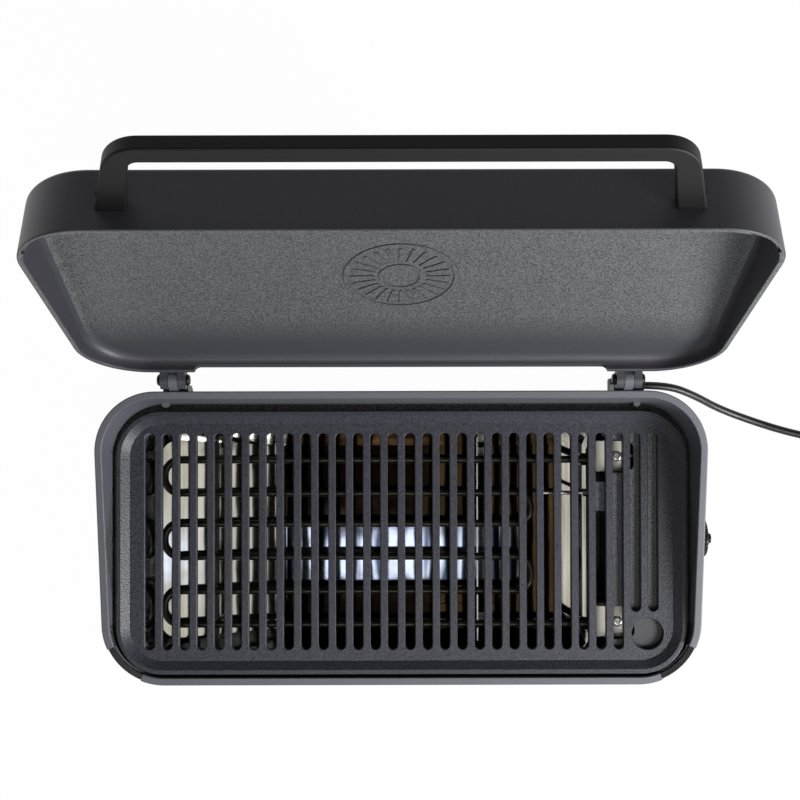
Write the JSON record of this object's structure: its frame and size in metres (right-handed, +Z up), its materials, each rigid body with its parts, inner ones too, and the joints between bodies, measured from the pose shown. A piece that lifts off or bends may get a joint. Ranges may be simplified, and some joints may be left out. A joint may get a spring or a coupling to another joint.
{
  "type": "electric barbecue grill",
  "caption": "Rectangular table-top electric grill with a slotted lift-out plate over a tubular element, a hinged cast lid with a bow handle, a side control knob and a mains lead.",
  "frame": {"origin": "on the table top, under the middle of the body casting", "axes": "+Z up, +X to the right along the body's length, +Y to the back, where the hinges are"},
  "size_m": [0.7991, 0.4063, 0.4363],
  "materials": {
    "body_enamel": "granular grey enamel on cast aluminium",
    "lid_enamel": "granular grey enamel on cast aluminium",
    "plate_iron": "fine textured coating",
    "handle_plastic": "satin moulded",
    "bumper_rubber": "glossy black",
    "tray_steel": "polished reflector sheet",
    "support_steel": "bright sheet",
    "element_steel": "dark olive sheath",
    "probe_steel": "bright tube",
    "ceramic": "glazed white ceramic",
    "dark_steel": "blackened",
    "pin_steel": "satin",
    "thermostat_ceramic": "ceramic switch body",
    "knob_plastic": "moulded",
    "cover_steel": "grey sheet",
    "foot_rubber": "matte",
    "lead_rubber": "matte black sheath",
    "plug_plastic": "moulded",
    "strap_plastic": "woven strap",
    "brass": "plated",
    "wire_sleeve": "glass-fibre sleeve"
  },
  "bodies": {
    "body": {"body_shell": "body_enamel", "corner_bumper_left": "bumper_rubber", "corner_bumper_right": "bumper_rubber", "reflector_tray": "tray_steel", "element_support_left": "support_steel", "element_support_right": "support_steel", "heating_element": "element_steel", "terminal_block_rear": "ceramic", "terminal_block_front": "ceramic", "terminal_screws": "dark_steel", "temperature_probe": "probe_steel", "thermostat": "thermostat_ceramic", "thermostat_nut": "brass", "hinge_pin_left": "pin_steel", "hinge_pin_right": "pin_steel", "bottom_cover": "cover_steel", "cover_screws": "dark_steel", "rubber_feet": "foot_rubber", "cable_gland": "handle_plastic", "gland_nut": "brass", "inner_wires": "wire_sleeve", "mains_lead": "lead_rubber", "cord_coil": "lead_rubber", "coil_tie": "strap_plastic", "mains_plug": "plug_plastic", "plug_pins": "brass"},
    "lid": {"lid_shell": "lid_enamel", "handle": "handle_plastic", "handle_screws": "dark_steel"},
    "plate": {"grill_plate": "plate_iron"},
    "knob": {"control_knob": "knob_plastic", "thermostat_shaft": "brass"}
  },
  "joints": [
    {"name": "lid_hinge", "type": "hinge", "parent": "body", "child": "lid", "pos_m": [0, 0.1375, 0.1374], "axis": [-1, 0, 0], "range_deg": [-118.5, 0]},
    {"name": "plate_lift", "type": "slide", "parent": "body", "child": "plate", "axis": [0, 0, 1], "range_m": [0, 0.08]},
    {"name": "knob_turn", "type": "hinge", "parent": "body", "child": "knob", "pos_m": [0.261, -0.0027, 0.062], "axis": [-1, 0, 0], "range_deg": [0, 270]}
  ]
}
